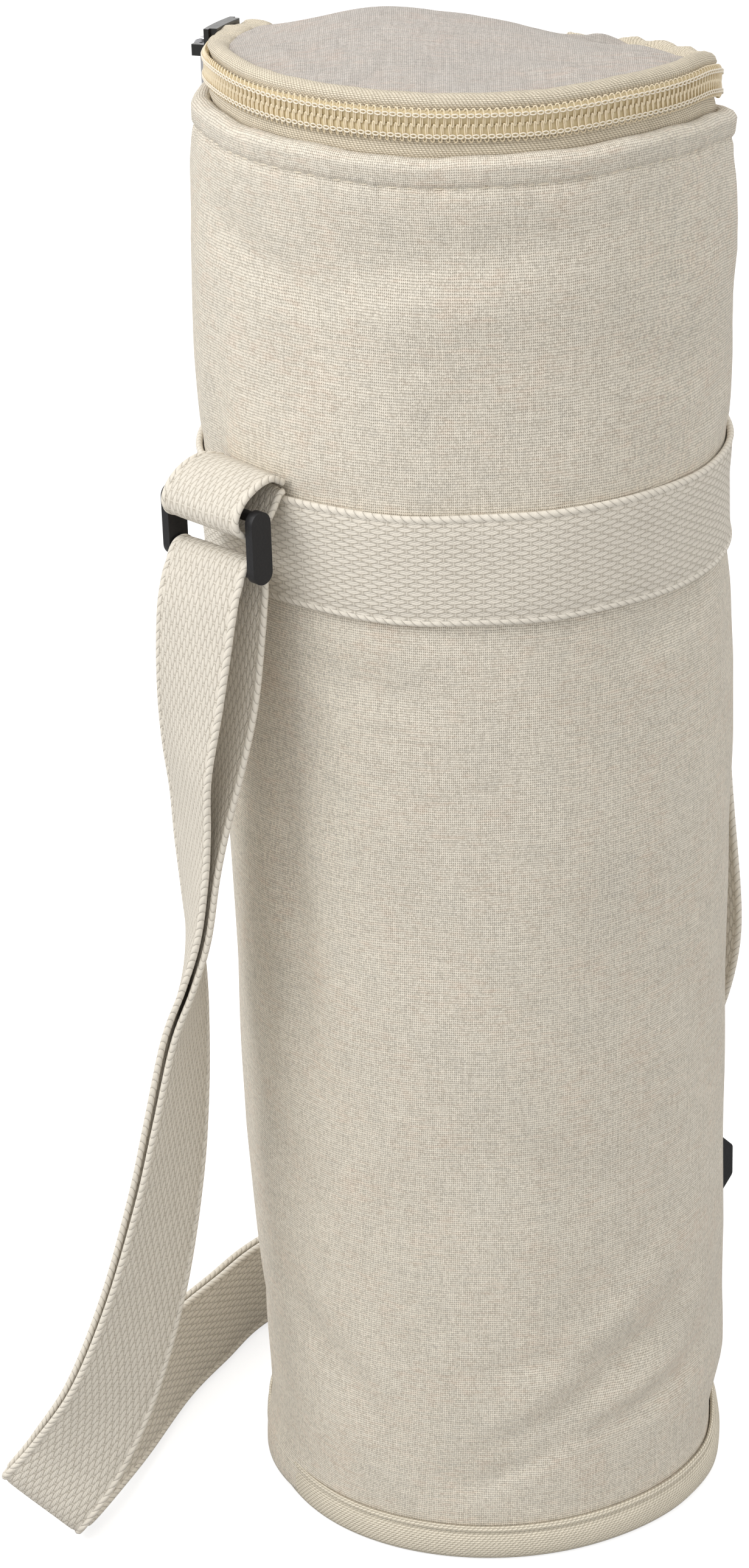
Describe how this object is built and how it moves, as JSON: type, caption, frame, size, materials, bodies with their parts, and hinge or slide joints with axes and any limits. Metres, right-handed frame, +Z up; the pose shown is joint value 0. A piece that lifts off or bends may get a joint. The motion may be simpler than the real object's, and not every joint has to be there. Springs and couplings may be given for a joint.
{
  "type": "bottle carrier",
  "caption": "Tall padded canvas tube for one bottle, with a zipped round lid, a webbing band, and a slack webbing shoulder strap that hangs from a plastic ring.",
  "frame": {"origin": "on the tube's axis, at the floor, in the middle of the bound foot that it stands on", "axes": "+Z up along the tube, -Y towards the viewer of the picture, +X to the right; the strap ring is at the front left"},
  "size_m": [0.1836, 0.1472, 0.359],
  "materials": {
    "canvas": "plain weave cotton, matte",
    "webbing": "coarse basket weave, matte",
    "binding": "herringbone tape, matte",
    "zip_tape": "knitted tape, matte",
    "zip_coil": "satin nylon",
    "foam": "closed-cell foam, matte",
    "liner": "foil-faced sheet, satin",
    "black_plastic": "fine matte",
    "black_enamel": "black enamel on zinc",
    "pull_metal": "brushed plate"
  },
  "bodies": {
    "tube": {"outer_canvas": "canvas", "wall_foam": "foam", "wall_liner": "liner", "base_canvas": "canvas", "base_foam": "foam", "base_liner": "liner", "base_binding": "binding", "webbing_band": "webbing", "lower_zip_tape": "zip_tape", "lower_coil": "zip_coil", "hinge_strip_lower": "canvas", "strap_tab": "webbing", "strap_long_run": "webbing", "strap_return_run": "webbing"},
    "lid": {"hinge_strip_upper": "canvas", "upper_zip_tape": "zip_tape", "upper_coil": "zip_coil", "lid_canvas": "canvas", "lid_foam": "foam", "lid_liner": "liner"},
    "zip_slider": {"zip_slider_body": "black_enamel"},
    "pull": {"zip_pull": "pull_metal"},
    "ring": {"strap_ring": "black_plastic", "strap_loop": "webbing"},
    "adjuster": {"strap_adjuster": "black_plastic", "strap_end_loop": "webbing"}
  },
  "joints": [
    {"name": "lid_fold", "type": "hinge", "parent": "tube", "child": "lid", "pos_m": [0, 0.0567, 0.34905], "axis": [-1, 0, 0], "range_deg": [0, 175]},
    {"name": "zip_travel", "type": "hinge", "parent": "tube", "child": "zip_slider", "pos_m": [0, 0, 0.34905], "axis": [0, 0, 1], "range_deg": [-32, 257]},
    {"name": "pull_swing", "type": "hinge", "parent": "zip_slider", "child": "pull", "pos_m": [-0.05764, 0.02329, 0.34905], "axis": [0.3746, 0.9272, 0], "range_deg": [0, 150]},
    {"name": "ring_swing", "type": "hinge", "parent": "tube", "child": "ring", "pos_m": [-0.0558, -0.044, 0.26408], "axis": [-0.6947, 0.7193, 0], "range_deg": [-5, 60]},
    {"name": "adjuster_slide", "type": "slide", "parent": "tube", "child": "adjuster", "axis": [0, 0, 1], "range_m": [0, 0.015]}
  ]
}
